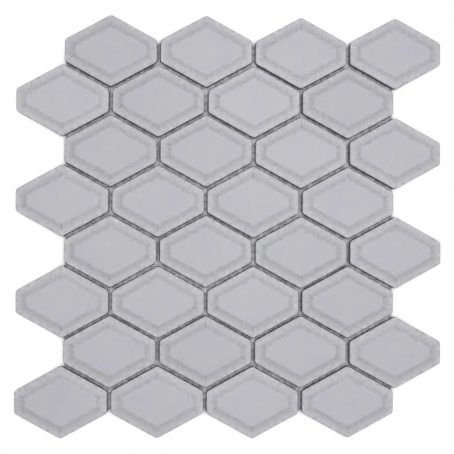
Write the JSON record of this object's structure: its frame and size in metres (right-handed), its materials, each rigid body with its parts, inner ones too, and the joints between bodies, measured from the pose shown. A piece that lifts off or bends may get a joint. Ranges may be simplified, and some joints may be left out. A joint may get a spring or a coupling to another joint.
{
  "type": "mosaic tile sheet",
  "caption": "Interlocking sheet of glazed ceramic diamond mosaic tiles, elongated hexagons with a low rim and a coved rise to a flat panel, bonded to a glass-fibre net.",
  "frame": {"origin": "centre of the sheet's underside, on the plane that the net lies on", "axes": "+X along the rows of tiles, +Y across the rows, +Z out of the glazed faces"},
  "size_m": [0.2999, 0.2977, 0.0085],
  "materials": {
    "glazed_tile": "satin-gloss light grey glaze on a fired off-white body",
    "glass_fibre_net": "coated glass-fibre threads"
  },
  "bodies": {
    "root": {"tile_r1_c1": "glazed_tile", "tile_r1_c2": "glazed_tile", "tile_r1_c3": "glazed_tile", "tile_r1_c4": "glazed_tile", "tile_r2_c1": "glazed_tile", "tile_r2_c2": "glazed_tile", "tile_r2_c3": "glazed_tile", "tile_r2_c4": "glazed_tile", "tile_r3_c1": "glazed_tile", "tile_r3_c2": "glazed_tile", "tile_r3_c3": "glazed_tile", "tile_r3_c4": "glazed_tile", "tile_r4_c1": "glazed_tile", "tile_r4_c2": "glazed_tile", "tile_r4_c3": "glazed_tile", "tile_r4_c4": "glazed_tile", "tile_r5_c1": "glazed_tile", "tile_r5_c2": "glazed_tile", "tile_r5_c3": "glazed_tile", "tile_r5_c4": "glazed_tile", "tile_r6_c1": "glazed_tile", "tile_r6_c2": "glazed_tile", "tile_r6_c3": "glazed_tile", "tile_r6_c4": "glazed_tile", "tile_r7_c1": "glazed_tile", "tile_r7_c2": "glazed_tile", "tile_r7_c3": "glazed_tile", "tile_r7_c4": "glazed_tile", "tile_r8_c1": "glazed_tile", "tile_r8_c2": "glazed_tile", "tile_r8_c3": "glazed_tile", "tile_r8_c4": "glazed_tile", "net_crosswise_threads": "glass_fibre_net", "net_lengthwise_threads": "glass_fibre_net"}
  },
  "joints": []
}
